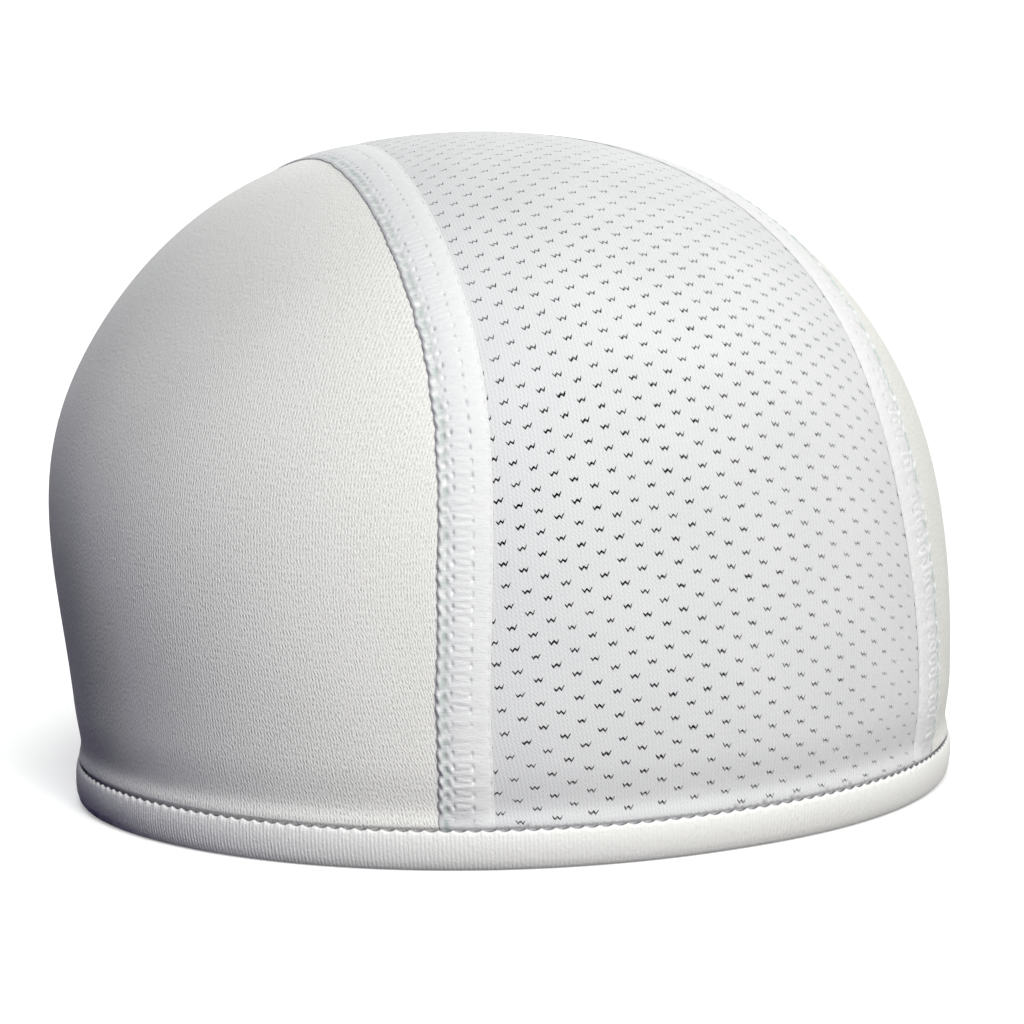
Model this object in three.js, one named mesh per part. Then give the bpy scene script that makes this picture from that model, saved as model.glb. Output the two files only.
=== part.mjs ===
// Helmet liner cap: a close-fitting skull cap of three panels. A perforated panel runs from the
// forehead over the crown to the nape, a smooth panel covers each side, a flat turned seam joins
// them along each edge of the middle panel, and a folded band binds the whole lower edge.
// Millimetres, +Z up, the forehead towards -Y, standing on the fold of its hem band at Z = 0.
import * as THREE from "three";

// Driving sizes
const capLength = 195; // forehead to nape: the sections' front and back shares are of half of it
const capWidth = 174; // side to side: the sections' side shares are of half of it
const crownHeight = 129; // fold of the hem to the top of the crown
const widestBehind = 1.65; // how far the widest station lies behind the middle of the footprint
const wallThickness = 1.2; // both panel fabrics
const clearance = 0.3; // between pieces that are sewn to each other
const seamWidth = 10; // turned and topstitched seam
const seamThickness = 1.2; // at the turned edge, which is the thick one
const hemHeight = 8; // folded hem band
const hemPly = 1; // each layer of the hem band
const hemRounding = 0.6; // at the fold and along the band's top edge
const hemTuck = 0.8; // how far the hem band draws the panels in
const dentDepth = 7; // where the cloth hangs in, low on each side towards the nape

// Roundness of the crown: how square its upright outline is, how flat its top, how square its plan
const uprightPower = 3.15;
const topPower = 2.23;
const planPower = 2.12;

// Fullness at each share of the height, in shares of half the length and half the width
const sections = [
  { height: 0.0, front: 0.967, side: 1.006, back: 0.849 },
  { height: 0.18, front: 0.994, side: 1.02, back: 0.91 },
  { height: 0.38, front: 0.999, side: 1.038, back: 0.975 },
  { height: 0.58, front: 1.019, side: 1.029, back: 1.028 },
  { height: 0.78, front: 1.056, side: 0.979, back: 1.048 },
  { height: 1.0, front: 1.048, side: 0.94, back: 1.069 },
];

// Middle of each seam, out from the centre line in shares of half the width, by how far the
// middle panel has turned from the forehead's hem over the crown, in degrees, to the nape's
const seamLine = [
  { turn: 0, out: 0.578 },
  { turn: 20, out: 0.599 },
  { turn: 35, out: 0.575 },
  { turn: 50, out: 0.526 },
  { turn: 65, out: 0.459 },
  { turn: 80, out: 0.369 },
  { turn: 95, out: 0.262 },
  { turn: 115, out: 0.21 },
  { turn: 140, out: 0.33 },
  { turn: 180, out: 0.48 },
];

// Section through a seam: across from the side panel's edge to the perforated panel's edge in
// shares of the seam's width, and how high it lies in shares of its thickness
const seamSection = [
  { across: 0.0, lift: 0.6 },
  { across: 0.06, lift: 1.0 },
  { across: 0.3, lift: 0.8 },
  { across: 0.65, lift: 0.75 },
  { across: 0.95, lift: 0.55 },
  { across: 1.0, lift: 0.3 },
];

// Where the cloth hangs in below the fullest level: its middle by compass turn from the forehead
// and by share of the height, and how far it spreads each way
const dent = { turn: 128, height: 0.126, turnSpread: 28, heightSpread: 0.3 };

const halfWidth = capWidth / 2;
const halfLength = capLength / 2;
const centreY = widestBehind;
const edgeZ = hemPly + clearance; // the panels' lower edge, held inside the hem's fold
const seamEndZ = hemHeight + clearance;
const tuckTopZ = 2.5 * hemHeight; // where the hem band's pull dies out

// Smooth curve through a table's rows, by natural cubic spline
function splineThrough(rows, at, value) {
  const x = rows.map((row) => row[at]);
  const y = rows.map((row) => row[value]);
  const bend = new Array(x.length).fill(0);
  const carry = new Array(x.length).fill(0);
  for (let i = 1; i < x.length - 1; i++) {
    const share = (x[i] - x[i - 1]) / (x[i + 1] - x[i - 1]);
    const pivot = share * bend[i - 1] + 2;
    const slopeAfter = (y[i + 1] - y[i]) / (x[i + 1] - x[i]);
    const slopeBefore = (y[i] - y[i - 1]) / (x[i] - x[i - 1]);
    const turn = (6 * (slopeAfter - slopeBefore)) / (x[i + 1] - x[i - 1]);
    bend[i] = (share - 1) / pivot;
    carry[i] = (turn - share * carry[i - 1]) / pivot;
  }
  for (let i = x.length - 2; i > 0; i--) bend[i] = bend[i] * bend[i + 1] + carry[i];
  bend[0] = 0;
  return (v) => {
    const held = Math.min(Math.max(v, x[0]), x[x.length - 1]);
    let i = 1;
    while (i < x.length - 1 && held > x[i]) i++;
    const step = x[i] - x[i - 1];
    const before = (x[i] - held) / step;
    const after = (held - x[i - 1]) / step;
    const curve = (before ** 3 - before) * bend[i - 1] + (after ** 3 - after) * bend[i];
    return before * y[i - 1] + after * y[i] + (curve * step * step) / 6;
  };
}

const fullness = {
  front: splineThrough(sections, "height", "front"),
  side: splineThrough(sections, "height", "side"),
  back: splineThrough(sections, "height", "back"),
};
const seamOut = splineThrough(seamLine, "turn", "out");

// How far the crown is drawn in from its full shape at a compass turn and height
function drawnIn(turn, z) {
  const byTurn = (turn - dent.turn) / dent.turnSpread;
  const byHeight = (z / crownHeight - dent.height) / dent.heightSpread;
  const pressed = dentDepth * Math.exp(-(byTurn ** 2)) * Math.exp(-(byHeight ** 2));
  return pressed + hemTuck * (1 - THREE.MathUtils.smoothstep(z, hemHeight, tuckTopZ));
}

// The crown's outer face, as a function that is negative inside and positive outside
function crown(point) {
  const y = point.y - centreY;
  const height = THREE.MathUtils.clamp(point.z / crownHeight, 0, 1);
  const out = Math.hypot(point.x, y) || 1e-9;
  const sideShare = (point.x / out) ** 2;
  const towards = y < 0 ? fullness.front(height) : fullness.back(height);
  const full = sideShare * fullness.side(height) + (1 - sideShare) * towards;
  const sideways = (Math.abs(point.x) / halfWidth) ** planPower;
  const plan = (sideways + (Math.abs(y) / halfLength) ** planPower) ** (1 / planPower);
  const turn = THREE.MathUtils.radToDeg(Math.atan2(Math.abs(point.x), -y));
  const radius = ((plan / out) * (out + drawnIn(turn, point.z))) / full;
  return radius ** topPower + (Math.max(point.z, 0) / crownHeight) ** uprightPower - 1;
}

// Outward direction of the crown at a point on or near it
function outward(point) {
  const step = 0.05;
  const slope = new THREE.Vector3();
  for (const axis of ["x", "y", "z"]) {
    const ahead = point.clone();
    const behind = point.clone();
    ahead[axis] += step;
    behind[axis] -= step;
    slope[axis] = crown(ahead) - crown(behind);
  }
  return slope.normalize();
}

// Where a ray from inside meets the crown
function crownAlong(from, direction) {
  let near = 0;
  let far = 2 * capLength;
  const at = new THREE.Vector3();
  for (let i = 0; i < 44; i++) {
    const middle = (near + far) / 2;
    at.copy(from).addScaledVector(direction, middle);
    if (crown(at) > 0) far = middle;
    else near = middle;
  }
  return at;
}

// Point of the middle panel: across runs from -1 to 1 between the seams' middles, and turn
// from 0 at the forehead's hem to pi at the nape's. A gap holds it back from the seam's middle.
function middlePoint(across, turn, gap = 0) {
  const bearing = new THREE.Vector3(0, -Math.cos(turn), Math.sin(turn));
  const from = new THREE.Vector3(0, centreY, edgeZ);
  from.x = across * (seamOut(THREE.MathUtils.radToDeg(turn)) * halfWidth - gap);
  return crownAlong(from, bearing);
}

// Turn between two turns at which the seam's middle passes a height
function turnAtHeight(z, lowTurn, highTurn) {
  let low = lowTurn;
  let high = highTurn;
  for (let i = 0; i < 40; i++) {
    const middle = (low + high) / 2;
    if (middlePoint(1, middle).z < z) low = middle;
    else high = middle;
  }
  return high;
}

// Closed solid between an outer sheet of rows of points and the same sheet laid inwards
function sheetSolid(rows, thickness) {
  const rowCount = rows.length;
  const count = rows[0].length;
  const positions = [];
  for (const depth of [0, thickness]) {
    for (const row of rows) {
      for (const point of row) {
        const inward = outward(point);
        const atEdge = Math.abs(point.z - edgeZ) < 1e-6;
        if (atEdge) inward.setZ(0).normalize();
        positions.push(...point.clone().addScaledVector(inward, -depth));
      }
    }
  }
  const outer = (i, j) => i * count + j;
  const inner = (i, j) => (rowCount + i) * count + j;
  const faces = [];
  const quad = (a, b, c, d) => faces.push(a, b, c, a, c, d);
  for (let i = 0; i < rowCount - 1; i++) {
    for (let j = 0; j < count - 1; j++) {
      quad(outer(i, j), outer(i, j + 1), outer(i + 1, j + 1), outer(i + 1, j));
      quad(inner(i, j), inner(i + 1, j), inner(i + 1, j + 1), inner(i, j + 1));
    }
    quad(outer(i, 0), outer(i + 1, 0), inner(i + 1, 0), inner(i, 0));
    const last = count - 1;
    quad(outer(i, last), inner(i, last), inner(i + 1, last), outer(i + 1, last));
  }
  for (let j = 0; j < count - 1; j++) {
    const last = rowCount - 1;
    quad(outer(0, j), inner(0, j), inner(0, j + 1), outer(0, j + 1));
    quad(outer(last, j), outer(last, j + 1), inner(last, j + 1), inner(last, j));
  }
  return meshGeometry(positions, faces);
}

// Closed solid of one section carried along a line: a ring, or a band whose ends are closed
// from each point of the section's first half to the one facing it in its second half
function sweptSolid(stations, ring) {
  const count = stations[0].length;
  const faces = [];
  const at = (i, j) => (i % stations.length) * count + (j % count);
  const spans = ring ? stations.length : stations.length - 1;
  for (let i = 0; i < spans; i++) {
    for (let j = 0; j < count; j++) {
      faces.push(at(i, j), at(i, j + 1), at(i + 1, j + 1));
      faces.push(at(i, j), at(i + 1, j + 1), at(i + 1, j));
    }
  }
  const last = stations.length - 1;
  for (let j = 0; !ring && j < count / 2 - 1; j++) {
    const opposite = count - 1 - j;
    faces.push(at(0, j), at(0, opposite), at(0, opposite - 1));
    faces.push(at(0, j), at(0, opposite - 1), at(0, j + 1));
    faces.push(at(last, j), at(last, opposite - 1), at(last, opposite));
    faces.push(at(last, j), at(last, j + 1), at(last, opposite - 1));
  }
  return meshGeometry(stations.flat().flatMap((point) => [...point]), faces);
}

// Triangle mesh whose faces point outwards whichever way its rows ran
function meshGeometry(positions, faces) {
  let volume = 0;
  const corner = (k) => new THREE.Vector3().fromArray(positions, 3 * faces[k]);
  for (let k = 0; k < faces.length; k += 3) {
    volume += corner(k).dot(corner(k + 1).cross(corner(k + 2)));
  }
  if (volume < 0) {
    for (let k = 0; k < faces.length; k += 3) {
      [faces[k], faces[k + 1]] = [faces[k + 1], faces[k]];
    }
  }
  const geometry = new THREE.BufferGeometry();
  geometry.setAttribute("position", new THREE.Float32BufferAttribute(positions, 3));
  geometry.setIndex(faces);
  geometry.computeVertexNormals();
  return geometry;
}

// Even shares from 0 to 1
const shares = (count) => Array.from({ length: count + 1 }, (_, i) => i / count);

// Perforated panel over the crown
function middlePanel() {
  const lengthwise = 44;
  const crosswise = 10;
  const rows = shares(lengthwise).map((u) =>
    shares(crosswise).map((v) => middlePoint(2 * v - 1, Math.PI * u, clearance / 2)),
  );
  return sheetSolid(rows, wallThickness);
}

// Smooth side panel: four sides, which are the hem, the seam's front rise, its run over the
// top and its back rise. side is 1 for the wearer's left and -1 for the right.
function sidePanel(side) {
  const lengthwise = 26;
  const upwards = 13;
  const riseTurn = 0.27 * Math.PI; // where the front and back rises meet the top run
  const onSeam = (turn) => middlePoint(side, turn, -clearance / 2);
  const frontCorner = onSeam(0);
  const backCorner = onSeam(Math.PI);
  const middle = new THREE.Vector3(0, centreY, edgeZ);
  const compass = (point) => Math.atan2(point.x * side, -(point.y - centreY));
  const onHem = (u) => {
    const turn = THREE.MathUtils.lerp(compass(frontCorner), compass(backCorner), u);
    return crownAlong(middle, new THREE.Vector3(side * Math.sin(turn), -Math.cos(turn), 0));
  };
  const hem = shares(lengthwise).map(onHem);
  const top = shares(lengthwise).map((u) =>
    onSeam(THREE.MathUtils.lerp(riseTurn, Math.PI - riseTurn, u)),
  );
  const frontRise = shares(upwards).map((v) => onSeam(riseTurn * v));
  const backRise = shares(upwards).map((v) => onSeam(Math.PI - riseTurn * v));
  const rows = shares(upwards).map((v, i) =>
    shares(lengthwise).map((u, j) => {
      if (i === 0) return hem[j];
      if (i === upwards) return top[j];
      if (j === 0) return frontRise[i];
      if (j === lengthwise) return backRise[i];
      const across = frontRise[i].clone().lerp(backRise[i], u);
      const up = hem[j].clone().lerp(top[j], v);
      const low = hem[0].clone().lerp(hem[lengthwise], u);
      const high = top[0].clone().lerp(top[lengthwise], u);
      const blended = across.add(up).sub(low.lerp(high, v));
      const bearing = blended.sub(middle).normalize();
      return crownAlong(middle, bearing);
    }),
  );
  return sheetSolid(rows, wallThickness);
}

// Turned seam: a flat band that follows the seam's middle line on the crown's outer face, from
// the hem band at the forehead to the hem band at the nape
function seamBand(side) {
  const lengthwise = 46;
  const turnStep = 1e-3;
  const frontEnd = turnAtHeight(seamEndZ, 0, Math.PI / 2);
  const backEnd = turnAtHeight(seamEndZ, Math.PI, Math.PI / 2);
  const stations = shares(lengthwise).map((u) => {
    const turn = THREE.MathUtils.lerp(frontEnd, backEnd, u);
    const centre = middlePoint(side, turn);
    const ahead = middlePoint(side, turn + turnStep);
    const behind = middlePoint(side, turn - turnStep);
    const along = ahead.sub(behind).normalize();
    const across = new THREE.Vector3().crossVectors(along, outward(centre)).multiplyScalar(-side);
    const level = new THREE.Vector3(0, centreY, 0);
    const atEnd = u === 0 || u === 1;
    if (atEnd) {
      across.setZ(0);
      level.setZ(centre.z);
    }
    across.normalize();
    const lifted = (row, lift) => {
      const place = centre.clone().addScaledVector(across, (0.5 - row.across) * seamWidth);
      const foot = crownAlong(level, place.sub(level).normalize());
      const up = outward(foot);
      if (atEnd) up.setZ(0).normalize();
      return foot.addScaledVector(up, clearance + lift);
    };
    const upper = seamSection.map((row) => lifted(row, row.lift * seamThickness));
    const under = [...seamSection].reverse().map((row) => lifted(row, 0));
    return [...upper, ...under];
  });
  return sweptSolid(stations, false);
}

// Folded hem band: two plies joined by a fold under the panels' lower edge
function hemBand() {
  const around = 76;
  const outerFace = clearance + hemPly;
  const innerFace = -wallThickness - clearance - hemPly;
  const section = [
    { out: clearance, up: hemHeight },
    { out: outerFace - hemRounding, up: hemHeight },
    { out: outerFace, up: hemHeight - hemRounding },
    { out: outerFace, up: hemRounding },
    { out: outerFace - hemRounding, up: 0 },
    { out: innerFace + hemRounding, up: 0 },
    { out: innerFace, up: hemRounding },
    { out: innerFace, up: hemHeight },
    { out: innerFace + hemPly, up: hemHeight },
    { out: innerFace + hemPly, up: hemPly },
    { out: clearance, up: hemPly },
  ];
  const stations = shares(around).slice(0, -1).map((u) => {
    const turn = 2 * Math.PI * u;
    const bearing = new THREE.Vector3(Math.sin(turn), -Math.cos(turn), 0);
    return section.map(({ out, up }) => {
      const foot = crownAlong(new THREE.Vector3(0, centreY, up), bearing);
      const sideways = outward(foot).setZ(0).normalize();
      return foot.addScaledVector(sideways, out);
    });
  });
  return sweptSolid(stations, true);
}

const smoothKnit = new THREE.MeshStandardMaterial({ color: 0xdfe0da, roughness: 0.55, metalness: 0 });
const perforatedKnit = new THREE.MeshStandardMaterial({ color: 0xeeeef1, roughness: 0.75, metalness: 0 });
const seamKnit = new THREE.MeshStandardMaterial({ color: 0xf0eff0, roughness: 0.7, metalness: 0 });

function piece(name, geometry, material) {
  const mesh = new THREE.Mesh(geometry, material);
  mesh.name = name;
  return mesh;
}

const cap = new THREE.Group();
cap.add(piece("center_panel", middlePanel(), perforatedKnit));
for (const [name, side] of [["left", 1], ["right", -1]]) {
  cap.add(piece(`side_panel_${name}`, sidePanel(side), smoothKnit));
  cap.add(piece(`seam_band_${name}`, seamBand(side), seamKnit));
}
cap.add(piece("hem_band", hemBand(), smoothKnit));

export default cap;
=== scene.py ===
"""Helmet liner cap: the dressed model of a close-fitting skull cap.

Six pieces of cloth stand for the six solids: a perforated middle panel, two smooth side
panels, two flat topstitched seams and a folded hem band. Lengths are in millimetres until
a mesh is made, and the forehead faces -Y.
"""
import math

import bpy
import numpy as np
from mathutils import Matrix, Vector
from mathutils.geometry import delaunay_2d_cdt


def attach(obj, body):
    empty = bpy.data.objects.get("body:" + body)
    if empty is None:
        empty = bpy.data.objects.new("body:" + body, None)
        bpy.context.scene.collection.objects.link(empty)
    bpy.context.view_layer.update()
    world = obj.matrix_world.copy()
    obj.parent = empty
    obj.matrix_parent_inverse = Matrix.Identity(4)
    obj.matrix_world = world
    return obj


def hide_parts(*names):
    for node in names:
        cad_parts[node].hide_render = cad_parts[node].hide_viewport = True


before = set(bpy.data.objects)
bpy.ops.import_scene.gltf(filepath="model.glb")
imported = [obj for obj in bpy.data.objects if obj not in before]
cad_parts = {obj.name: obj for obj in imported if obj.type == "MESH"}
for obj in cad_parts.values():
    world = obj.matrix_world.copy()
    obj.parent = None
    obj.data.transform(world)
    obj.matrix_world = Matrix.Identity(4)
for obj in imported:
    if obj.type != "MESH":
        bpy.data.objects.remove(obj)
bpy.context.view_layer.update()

# Driving sizes, the same as the solids'
CAP_LENGTH = 195.0
CAP_WIDTH = 174.0
CROWN_HEIGHT = 129.0
WIDEST_BEHIND = 1.65
WALL = 1.2
CLEARANCE = 0.3
SEAM_WIDTH = 10.0
HEM_HEIGHT = 8.0
HEM_PLY = 1.0
HEM_TUCK = 0.8
DENT_DEPTH = 7.0

# Powers of the crown's upright profile, for height and for radius, and of its plan
UPRIGHT_POWER = 3.15
TOP_POWER = 2.23
PLAN_POWER = 2.12

# How full the crown is in front, at the sides and behind, by share of its height
SECTION_HEIGHT = (0.0, 0.18, 0.38, 0.58, 0.78, 1.0)
SECTION_FRONT = (0.967, 0.994, 0.999, 1.019, 1.056, 1.048)
SECTION_SIDE = (1.006, 1.02, 1.038, 1.029, 0.979, 0.94)
SECTION_BACK = (0.849, 0.91, 0.975, 1.028, 1.048, 1.069)

# Middle of a seam, as a share of half the width, by degrees over the crown from the forehead
SEAM_TURN = (0, 20, 35, 50, 65, 80, 95, 115, 140, 180)
SEAM_OUT = (0.578, 0.599, 0.575, 0.526, 0.459, 0.369, 0.262, 0.21, 0.33, 0.48)

# Dent low down behind each side: degrees round from the forehead, share of the height
DENT_TURN = 128.0
DENT_AT = 0.126
DENT_TURN_SPREAD = 28.0
DENT_HEIGHT_SPREAD = 0.3

# Eyelets of the middle panel, on a lattice of columns across and rows along its cloth
EYELET_WIDTH = 1.88
EYELET_HEIGHT = 1.32
EYELET_STROKE = 0.52
EYELET_TILT = -0.1  # rise to a millimetre across
EYELET_LINE = (  # across, along and thickness, as shares of half the width, the height and the stroke
    (-1.0, 0.4, 0.5), (-0.76, -0.05, 1.0), (-0.48, -0.5, 1.1), (-0.22, -0.1, 1.05), (0.02, 0.18, 1.0),
    (0.26, -0.15, 1.05), (0.5, -0.5, 1.1), (0.76, 0.0, 1.0), (1.0, 0.5, 0.5),
)
THINNEST_STROKE = 0.2
THICKEST_STROKE = 0.8
SIZE_JITTER = 0.05
SHAPE_JITTER = 0.035
TILT_JITTER = 0.06
STROKE_JITTER = 0.08
RIM_SINK = 0.06  # of the cloth round an eyelet
EYELET_FROM_EDGE = 4.2  # nearer ones lie wholly under a seam
OUTER_COLUMN = 20
GRAIN_WALES = 4.5  # wales of the mesh to one column of eyelets
GRAIN_AT = (0, 30, 60, 90, 120, 150, 190, 230, 300, 380)  # from the forehead's edge
GRAIN_PITCH = (3.1, 3.52, 3.64, 3.55, 3.33, 3.05, 3.0, 3.1, 3.4, 3.5)
GRAIN_OFFSET = 2.1  # of the middle column at the forehead
GRAIN_DRIFT = 14.4  # of the middle column on its way over the crown
GRAIN_DRIFT_FROM = 75
GRAIN_DRIFT_TO = 235
COLUMN_DRIFT = 0.006  # of a column, times the square of its number
ROW_COUNT = (0, 7, 14.5, 19, 25, 31, 37, 84.5)  # rows of eyelets from the forehead's edge
ROW_ALONG = (-3, 28.9, 62, 81.1, 105.4, 130.6, 159.5, 379)

# Rows of eyelets lean as the grain drifts, and curve more over the crown and less at the brow
ROW_LEAN_FROM = 95
ROW_CURVE = 0.0007
CROWN_CURVE = 0.002
CROWN_AT = 160
CROWN_SPREAD = 60
BROW_CURVE = 0.001
BROW_LEAN = 0.0006
BROW_TO = 45
BROW_FADE = 30

# Points between the eyelets that keep the triangles even
FILL_MARGIN_ACROSS = 1.2
FILL_MARGIN_ALONG = 1.5
LIP_ROW_PITCH = 0.3
LIP_POINT_PITCH = 1.6
LIP_ROWS_FROM = 5.9
LIP_ROWS_TO = 11.4
EYELET_ROOM_ACROSS = 1.4
EYELET_ROOM_ALONG = 0.95

# The knits and stitches
CLOTH = 0.8  # thickness of a dressed panel
MESH_WALE = 0.8
SIDE_WALE = 0.74
SIDE_COURSE = 0.62
SIDE_LEAN = -1.4e-5  # shear of the side panels' wales: this times the cube of the height
RIB_PITCH = 0.8  # of the hem band
RIB_HEIGHT = 0.045
STITCH = 2.7  # along the seams and the hem
SCALLOP = 0.42  # how far each stitch pulls the hem band's upper edge down
# painted shade in the groove where the band meets the panels
GROOVE_FROM = 0.95  # dark line where the band meets the panels: it fades out along the section
GROOVE_TO = 1.45
GROOVE_SHADE = (0.32, 0.32, 0.36)

# The side panels: where their upright edges pass into the top edge, and their rows from the hem
# up, as shares of that edge, which lie close together over the lip
SIDE_RISE_TURN = 0.27 * math.pi
SIDE_COLUMNS = 150
SIDE_ROWS = np.concatenate([[0.0, 0.03], np.arange(0.042, 0.12, 0.0025), np.linspace(0.13, 1, 70)])

# Relief of the seams: height over the panels against distance from the side panel's edge, with
# a twisted edge, a valley, a puffed row, a ladder of thread and a thin margin
SEAM_REACH = (0.0, 0.2, 0.6, 1.0, 1.4, 1.8, 2.3, 2.7, 3.2, 4.8, 6.2, 7.2, 8.4, 9.4, 10.0, 10.35)
SEAM_RISE = (0.12, 0.5, 0.95, 1.0, 0.88, 0.82, 0.86, 0.92, 0.96, 1.0, 0.92, 0.8, 0.62, 0.36, 0.16, 0.05)

# Rolls of thread on it: distance from the side panel's edge, width, height, slant to a millimetre
SEAM_ROLLS = (
    (0.5, 0.45, 0.22, 0.3),
    (2.2, 0.3, 0.12, 0.0),
)

# Rows of pits that the stitches pull into it: distance, width, depth, and the phase and
# sharpness in each stitch
SEAM_PITS = (
    (1.6, 0.4, 0.2, 0.35, 1),
    (3.0, 0.24, 0.34, 0.0, 4),
    (6.6, 0.2, 0.3, 0.12, 4),
)
MARGIN_PIT = (9.8, 0.16, 0.14, 0.3, 0.8)

# Painted shade on it, in the crease at the side panel's edge, in the valley beside it and in the
# stitch holes and pits: distance, width, the scale and the least value of the noise that breaks
# them up, the phase and sharpness in each stitch, and the colour
SEAM_PAINTED_SHADE = (
    (0.0, 0.14, 0.8, 0.5, 0.0, 0.0, (0.36, 0.32, 0.28)),
    (1.5, 0.6, 0.6, 0.36, 0.35, 0.1, (0.54, 0.6, 0.58)),
    (3.0, 0.26, 0.8, 0.42, 0.0, 2.0, (0.46, 0.48, 0.5)),
    (6.6, 0.24, 0.8, 0.44, 0.12, 2.0, (0.48, 0.49, 0.52)),
    (9.8, 0.16, 1.1, 0.4, 0.3, 1.0, (0.75, 0.74, 0.76)),
)
PAINTED_SHADE_SOFTNESS = 0.16

LADDER_HEIGHT = 0.06
LADDER_MIDDLE = 4.8
LADDER_WIDTH = 3.6
LOOP_SHIFT = 0.05  # of the side panel's edge of a seam, in and out once in each stitch
EDGE_WANDER = 0.1
OVER_CROWN = 0.68  # how much thinner the seams lie over the crown
THINNEST_TURN = 98  # degrees over the crown from the forehead
THIN_SPREAD = 36
SEAM_END_BELOW = 0.9  # how far a seam runs down behind the hem band's edge

# Floor and camera
FLOOR_GLOW = 0.35
FLOOR_CORNERS = 48
FLOOR_RADIUS = 16.0  # metres
COVERED_FLOOR = (0.084, 0.091, 0.0)  # metres
CAMERA_AZIMUTH = -29.78
CAMERA_ELEVATION = 8.585
CAMERA_ROLL = 1.862
CAMERA_DISTANCE = 1.107  # metres
CAMERA_TARGET_Z = 60.0

HALF_WIDTH = CAP_WIDTH / 2
HALF_LENGTH = CAP_LENGTH / 2
EDGE_Z = HEM_PLY + CLEARANCE
TUCK_TOP_Z = 2.5 * HEM_HEIGHT
PIVOT = np.array([0.0, WIDEST_BEHIND, EDGE_Z])

# Lip of cloth that puffs out just above the hem band's edge
LIP_FOOT_Z = HEM_HEIGHT - 0.35
LIP_Z = HEM_HEIGHT + 0.6
LIP_OUT = 0.85
LIP_FADE = 2.1


def spline_through(xs, ys):
    """Natural cubic spline through the points, held at its ends."""
    x = np.array(xs, float)
    y = np.array(ys, float)
    bend = np.zeros(len(x))
    carry = np.zeros(len(x))
    for i in range(1, len(x) - 1):
        share = (x[i] - x[i - 1]) / (x[i + 1] - x[i - 1])
        pivot = share * bend[i - 1] + 2
        turn = (y[i + 1] - y[i]) / (x[i + 1] - x[i]) - (y[i] - y[i - 1]) / (x[i] - x[i - 1])
        turn = 6 * turn / (x[i + 1] - x[i - 1])
        bend[i] = (share - 1) / pivot
        carry[i] = (turn - share * carry[i - 1]) / pivot
    for i in range(len(x) - 2, 0, -1):
        bend[i] = bend[i] * bend[i + 1] + carry[i]
    bend[0] = 0.0

    def at(v):
        v = np.clip(v, x[0], x[-1])
        i = np.clip(np.searchsorted(x, v), 1, len(x) - 1)
        step = x[i] - x[i - 1]
        before = (x[i] - v) / step
        after = (v - x[i - 1]) / step
        curve = (before**3 - before) * bend[i - 1] + (after**3 - after) * bend[i]
        return before * y[i - 1] + after * y[i] + curve * step * step / 6

    return at


full_front = spline_through(SECTION_HEIGHT, SECTION_FRONT)
full_side = spline_through(SECTION_HEIGHT, SECTION_SIDE)
full_back = spline_through(SECTION_HEIGHT, SECTION_BACK)
seam_out = spline_through(SEAM_TURN, SEAM_OUT)


def smoothstep(v, low, high):
    t = np.clip((v - low) / (high - low), 0, 1)
    return t * t * (3 - 2 * t)


def crown(p):
    """Negative inside the crown's outer face and positive outside."""
    x = p[..., 0]
    y = p[..., 1] - WIDEST_BEHIND
    z = p[..., 2]
    height = np.clip(z / CROWN_HEIGHT, 0, 1)
    out = np.hypot(x, y) + 1e-9
    side_share = (x / out) ** 2
    towards = np.where(y < 0, full_front(height), full_back(height))
    full = side_share * full_side(height) + (1 - side_share) * towards
    sideways = (np.abs(x) / HALF_WIDTH) ** PLAN_POWER
    plan = (sideways + (np.abs(y) / HALF_LENGTH) ** PLAN_POWER) ** (1 / PLAN_POWER)
    turn = np.degrees(np.arctan2(np.abs(x), -y))
    pressed = DENT_DEPTH * np.exp(-(((turn - DENT_TURN) / DENT_TURN_SPREAD) ** 2))
    pressed = pressed * np.exp(-(((z / CROWN_HEIGHT - DENT_AT) / DENT_HEIGHT_SPREAD) ** 2))
    drawn = pressed + HEM_TUCK * (1 - smoothstep(z, HEM_HEIGHT, TUCK_TOP_Z))
    radius = (plan / out) * (out + drawn) / full
    return radius**TOP_POWER + (np.maximum(z, 0) / CROWN_HEIGHT) ** UPRIGHT_POWER - 1


def unit(v):
    return v / (np.linalg.norm(v, axis=-1, keepdims=True) + 1e-12)


def outward(p):
    step = 0.05
    slope = []
    for axis in np.eye(3) * step:
        slope.append(crown(p + axis) - crown(p - axis))
    return unit(np.stack(slope, -1))


def crown_along(start, direction):
    """Where rays from inside meet the crown."""
    start, direction = np.broadcast_arrays(start, direction)
    near = np.zeros(start.shape[:-1])
    far = np.full(start.shape[:-1], 1.3 * CAP_LENGTH)
    for _ in range(30):
        middle = (near + far) / 2
        outside = crown(start + direction * middle[..., None]) > 0
        far = np.where(outside, middle, far)
        near = np.where(outside, near, middle)
    return start + direction * far[..., None]


def middle_point(across, turn, gap=0.0):
    """Point of the crown over the middle panel: across -1 to 1 between the seams' middles."""
    across, turn = np.broadcast_arrays(np.asarray(across, float), np.asarray(turn, float))
    start = np.empty(across.shape + (3,))
    start[..., 0] = across * (seam_out(np.degrees(turn)) * HALF_WIDTH - gap)
    start[..., 1] = WIDEST_BEHIND
    start[..., 2] = EDGE_Z
    bearing = np.stack([0 * turn, -np.cos(turn), np.sin(turn)], -1)
    return crown_along(start, bearing)


def turn_at_height(z, low, high):
    for _ in range(36):
        middle = (low + high) / 2
        if middle_point(1.0, middle)[2] < z:
            low = middle
        else:
            high = middle
    return high


def arc_of(points):
    """Length along rows of points, from the first."""
    steps = np.linalg.norm(np.diff(points, axis=0), axis=-1)
    return np.concatenate([[0.0], np.cumsum(steps)])


def hem_puff(z):
    """How far the lip above the hem band lifts the cloth off the crown."""
    above = np.exp(-(((z - LIP_Z) / LIP_FADE) ** 2))
    return LIP_OUT * np.where(z > LIP_Z, above, smoothstep(z, LIP_FOOT_Z, LIP_Z))


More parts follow.
